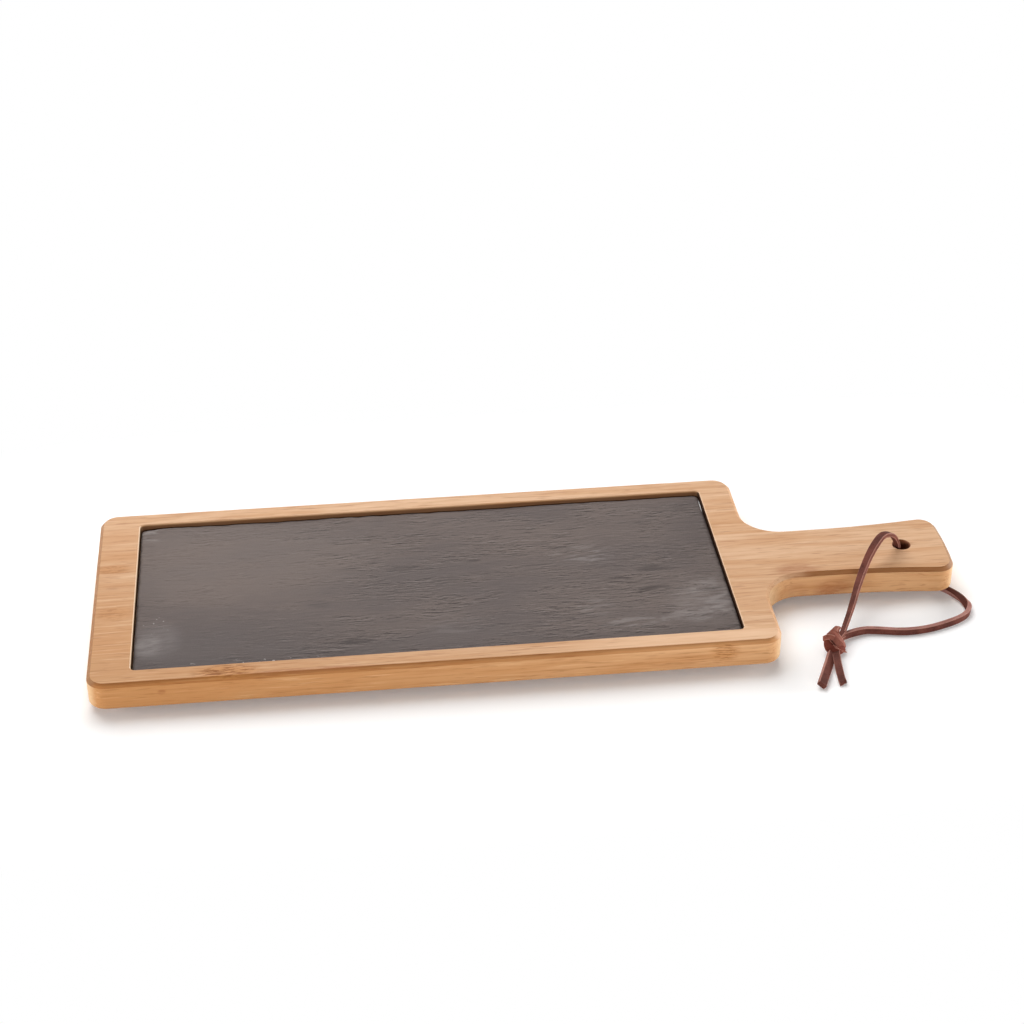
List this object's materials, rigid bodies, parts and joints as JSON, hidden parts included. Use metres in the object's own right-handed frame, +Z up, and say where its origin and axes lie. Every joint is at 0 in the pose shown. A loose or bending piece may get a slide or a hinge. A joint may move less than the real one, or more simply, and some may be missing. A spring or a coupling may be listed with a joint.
{
  "type": "slate serving board",
  "caption": "Flat bamboo serving board with a flared handle, a lift-out slate plate in its recess, rubber feet and a knotted leather lace to hang it by.",
  "frame": {"origin": "on the ground under the middle of the board's box, the lace left out", "axes": "+X along the board towards the end of the handle, +Y to the back edge, +Z up"},
  "size_m": [0.4301, 0.1668, 0.0307],
  "materials": {
    "bamboo": "oiled bamboo, satin",
    "slate": "riven natural slate, matt",
    "rubber": "matt black",
    "leather": "brown leather lace, matt"
  },
  "bodies": {
    "board": {"bamboo_board": "bamboo", "foot_front_left": "rubber", "foot_front_right": "rubber", "foot_back_left": "rubber", "foot_back_right": "rubber", "lace_upper_strand": "leather", "lace_lower_strand": "leather", "lace_knot": "leather", "lace_left_tail": "leather", "lace_right_tail": "leather"},
    "slate": {"slate_plate": "slate"}
  },
  "joints": [
    {"name": "slate_lift", "type": "slide", "parent": "board", "child": "slate", "axis": [0, 0, 1], "range_m": [0, 0.05]}
  ]
}
